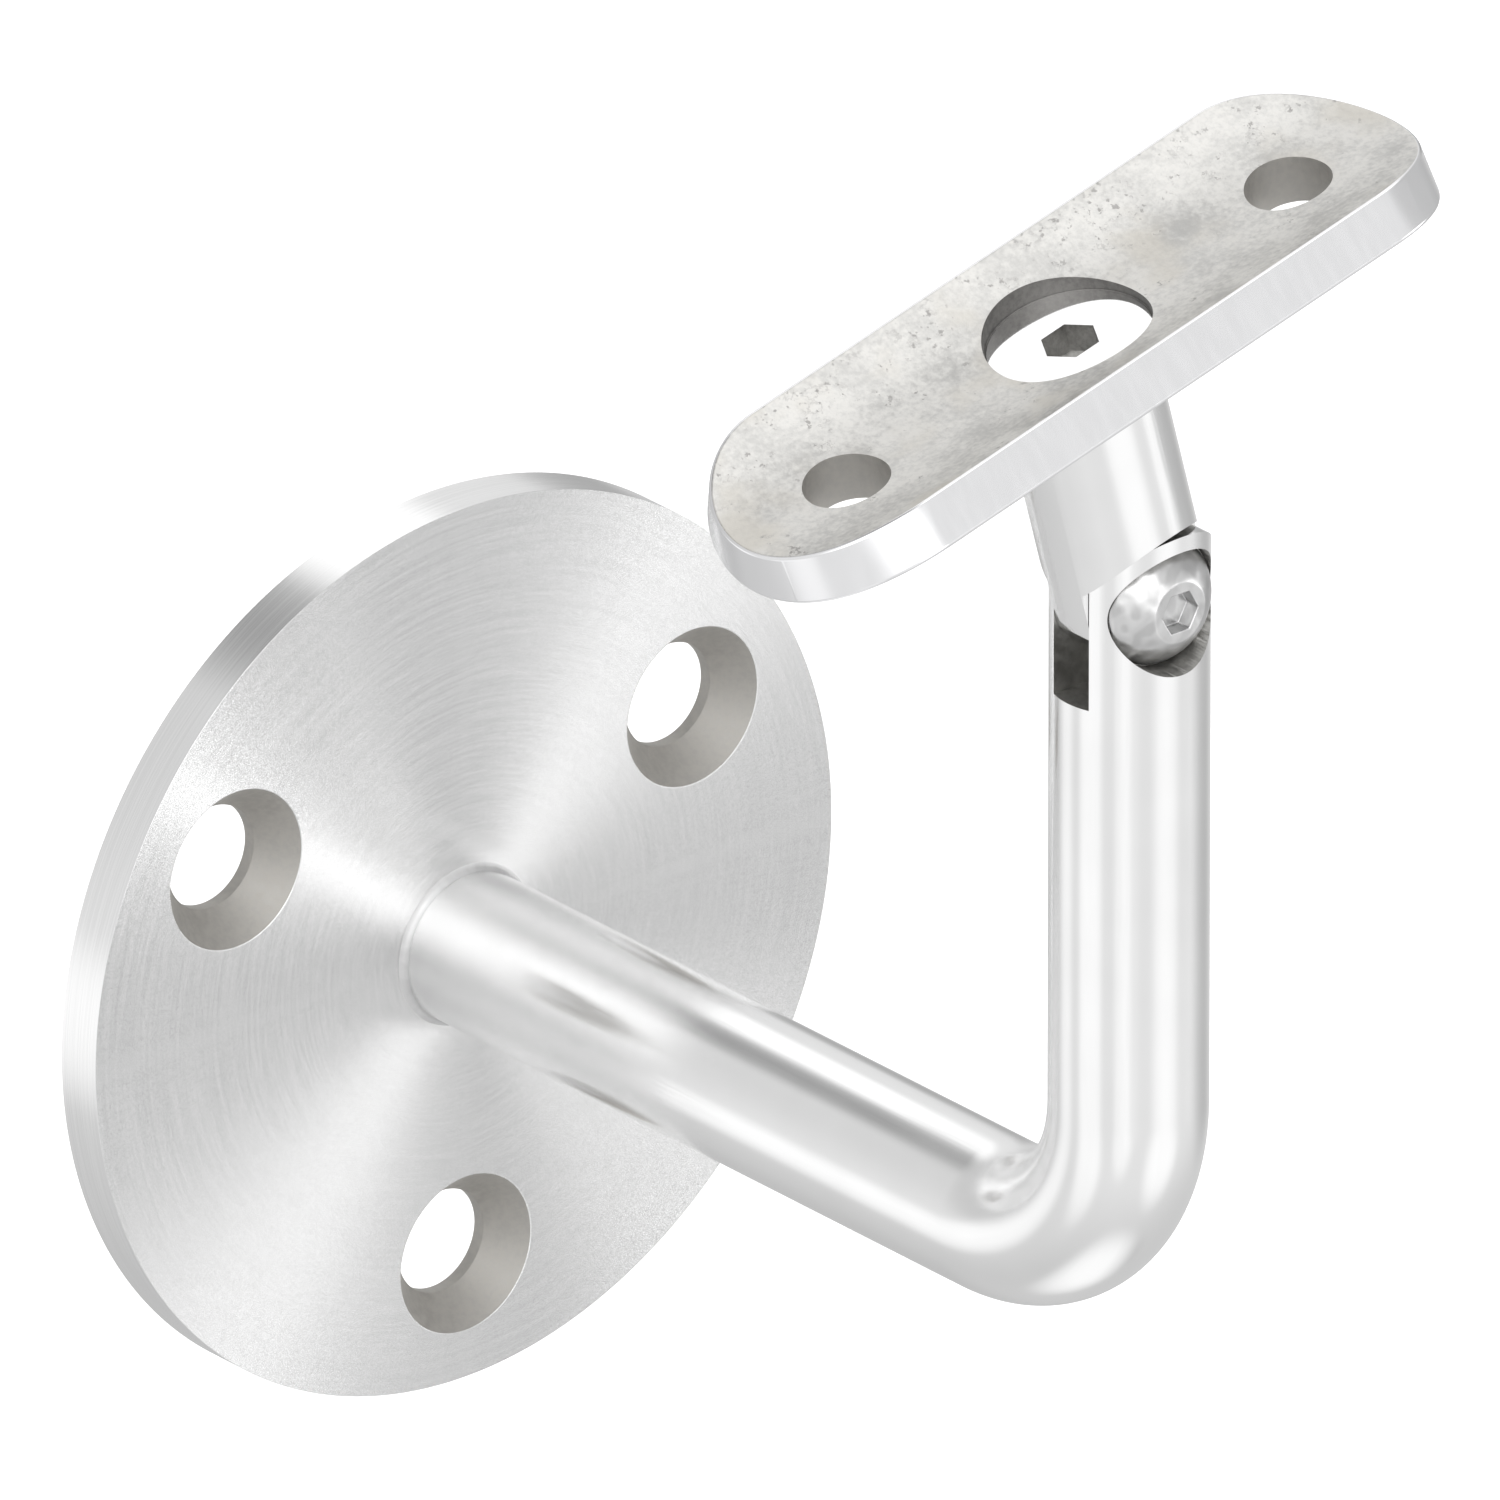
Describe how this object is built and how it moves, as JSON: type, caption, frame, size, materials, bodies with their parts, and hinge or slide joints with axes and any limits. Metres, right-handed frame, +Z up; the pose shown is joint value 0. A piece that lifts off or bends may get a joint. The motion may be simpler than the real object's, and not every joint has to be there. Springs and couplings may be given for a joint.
{
  "type": "handrail bracket",
  "caption": "Wall bracket for a round handrail: a round plate with countersunk holes, an L-bent bar arm, and a hinged head with a curved saddle plate that carries the rail.",
  "frame": {"origin": "middle of the wall plate's back face, the face that lies on the wall", "axes": "+X out from the wall along the arm, +Y level along the wall in the rail's direction, +Z up"},
  "size_m": [0.0923, 0.0731, 0.1239],
  "materials": {
    "brushed_plate": "circular brushed satin, polished rim",
    "polished_bar": "polished along the bar",
    "weld_seam": "ground and polished",
    "weld_bead": "as welded",
    "bright_screw": "bright, cold formed",
    "polished_post": "polished, turned top",
    "pickled_saddle": "pickled, slightly rough",
    "bright_countersunk_screw": "bright"
  },
  "bodies": {
    "bracket": {"wall_plate": "brushed_plate", "arm": "polished_bar", "front_weld": "weld_seam", "back_weld": "weld_bead", "hinge_screw": "bright_screw"},
    "head": {"hinge_post": "polished_post", "saddle_plate": "pickled_saddle", "saddle_screw": "bright_countersunk_screw"}
  },
  "joints": [
    {"name": "head_tilt", "type": "hinge", "parent": "bracket", "child": "head", "pos_m": [0.0806, 0, 0.05665], "axis": [1, 0, 0], "range_deg": [-75, 45]}
  ]
}
